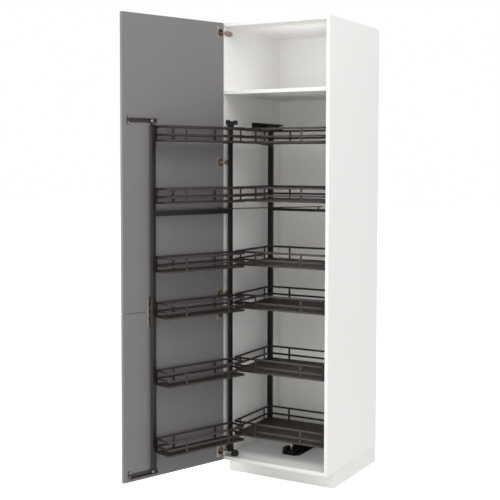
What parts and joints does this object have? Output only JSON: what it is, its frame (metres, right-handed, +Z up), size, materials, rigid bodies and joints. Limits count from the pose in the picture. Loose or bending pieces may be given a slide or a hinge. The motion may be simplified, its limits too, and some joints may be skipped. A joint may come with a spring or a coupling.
{
  "type": "kitchen cabinet",
  "caption": "Tall white kitchen cabinet with an open grey door, whose hinge motion swings out a front rack of railed trays and slides a rear rack forward.",
  "frame": {"origin": "on the floor under the middle of the plinth's front board", "axes": "+Z up, +X to the right seen from the front, +Y towards the cabinet's back"},
  "size_m": [0.7986, 1.1687, 2.28],
  "materials": {
    "carcase_white": "white melamine on particleboard",
    "plinth_white": "white foil on fibreboard",
    "door_grey": "matt grey foil on fibreboard",
    "tray_board": "dark textured melamine",
    "rack_steel": "anthracite powder coat",
    "post_black": "black anodised",
    "black_fitting": "moulded black",
    "black_plastic": "moulded black",
    "nickel": "nickel plated",
    "nylon": "white nylon"
  },
  "bodies": {
    "cabinet": {"side_panel_left": "carcase_white", "side_panel_right": "carcase_white", "top_panel": "carcase_white", "bottom_panel": "carcase_white", "fixed_shelf": "carcase_white", "back_panel": "carcase_white", "plinth": "plinth_white", "cabinet_legs": "black_plastic", "hinge_plates": "nickel", "hinge_arms": "nickel", "pivot_foot": "black_fitting", "pivot_bracket": "black_fitting", "top_guide": "black_fitting", "floor_runner": "black_fitting"},
    "door": {"door_upper": "door_grey", "door_lower": "door_grey", "door_link_plate": "nickel", "hinge_cups": "nickel", "door_rail_top": "black_fitting", "door_rail_bottom": "black_fitting"},
    "front_rack": {"front_outer_post": "post_black", "front_inner_post": "post_black", "front_crossbar": "rack_steel", "front_pivot_arms": "rack_steel", "roller_brackets": "rack_steel", "front_tray_brackets": "rack_steel", "front_tray_1": "tray_board", "front_tray_2": "tray_board", "front_tray_3": "tray_board", "front_tray_4": "tray_board", "front_tray_5": "tray_board", "front_tray_6": "tray_board", "front_rail_1": "rack_steel", "front_rail_2": "rack_steel", "front_rail_3": "rack_steel", "front_rail_4": "rack_steel", "front_rail_5": "rack_steel", "front_rail_6": "rack_steel"},
    "upper_roller": {"roller_top": "nylon"},
    "lower_roller": {"roller_bottom": "nylon"},
    "rear_rack": {"rear_post_left": "post_black", "rear_post_right": "post_black", "rear_crossbars": "rack_steel", "rear_tray_arms": "rack_steel", "rear_carriage": "rack_steel", "top_slider": "black_fitting", "rear_tray_1": "tray_board", "rear_tray_2": "tray_board", "rear_tray_3": "tray_board", "rear_tray_4": "tray_board", "rear_tray_5": "tray_board", "rear_tray_6": "tray_board", "rear_rail_1": "rack_steel", "rear_rail_2": "rack_steel", "rear_rail_3": "rack_steel", "rear_rail_4": "rack_steel", "rear_rail_5": "rack_steel", "rear_rail_6": "rack_steel"},
    "rod": {"drive_rod": "rack_steel"}
  },
  "joints": [
    {"name": "door_hinge", "type": "hinge", "parent": "cabinet", "child": "door", "pos_m": [-0.2897, -0.106, 1.14], "axis": [0, 0, 1], "range_deg": [0, 110]},
    {"name": "rack_swing", "type": "hinge", "parent": "cabinet", "child": "front_rack", "pos_m": [-0.236, -0.057, 0.119], "axis": [0, 0, 1], "range_deg": [0, 108.23]},
    {"name": "rear_slide", "type": "slide", "parent": "cabinet", "child": "rear_rack", "axis": [0, 1, 0], "range_m": [0, 0.13]},
    {"name": "rod_pivot", "type": "hinge", "parent": "front_rack", "child": "rod", "pos_m": [-0.27759, -0.13764, 1.355], "axis": [0, 0, 1], "range_deg": [-93.56, 0]},
    {"name": "upper_roller_spin", "type": "hinge", "parent": "front_rack", "child": "upper_roller", "pos_m": [-0.41953, -0.51591, 1.7761], "axis": [0, 0, 1], "continuous": true},
    {"name": "lower_roller_spin", "type": "hinge", "parent": "front_rack", "child": "lower_roller", "pos_m": [-0.41953, -0.51591, 0.1049], "axis": [0, 0, 1], "continuous": true}
  ],
  "couplings": [
    {"joint": "rack_swing", "follows": "door_hinge", "ratio": 0.98386},
    {"joint": "rear_slide", "follows": "door_hinge", "m_per_rad": 0.067713},
    {"joint": "rod_pivot", "follows": "door_hinge", "ratio": -0.85047}
  ]
}
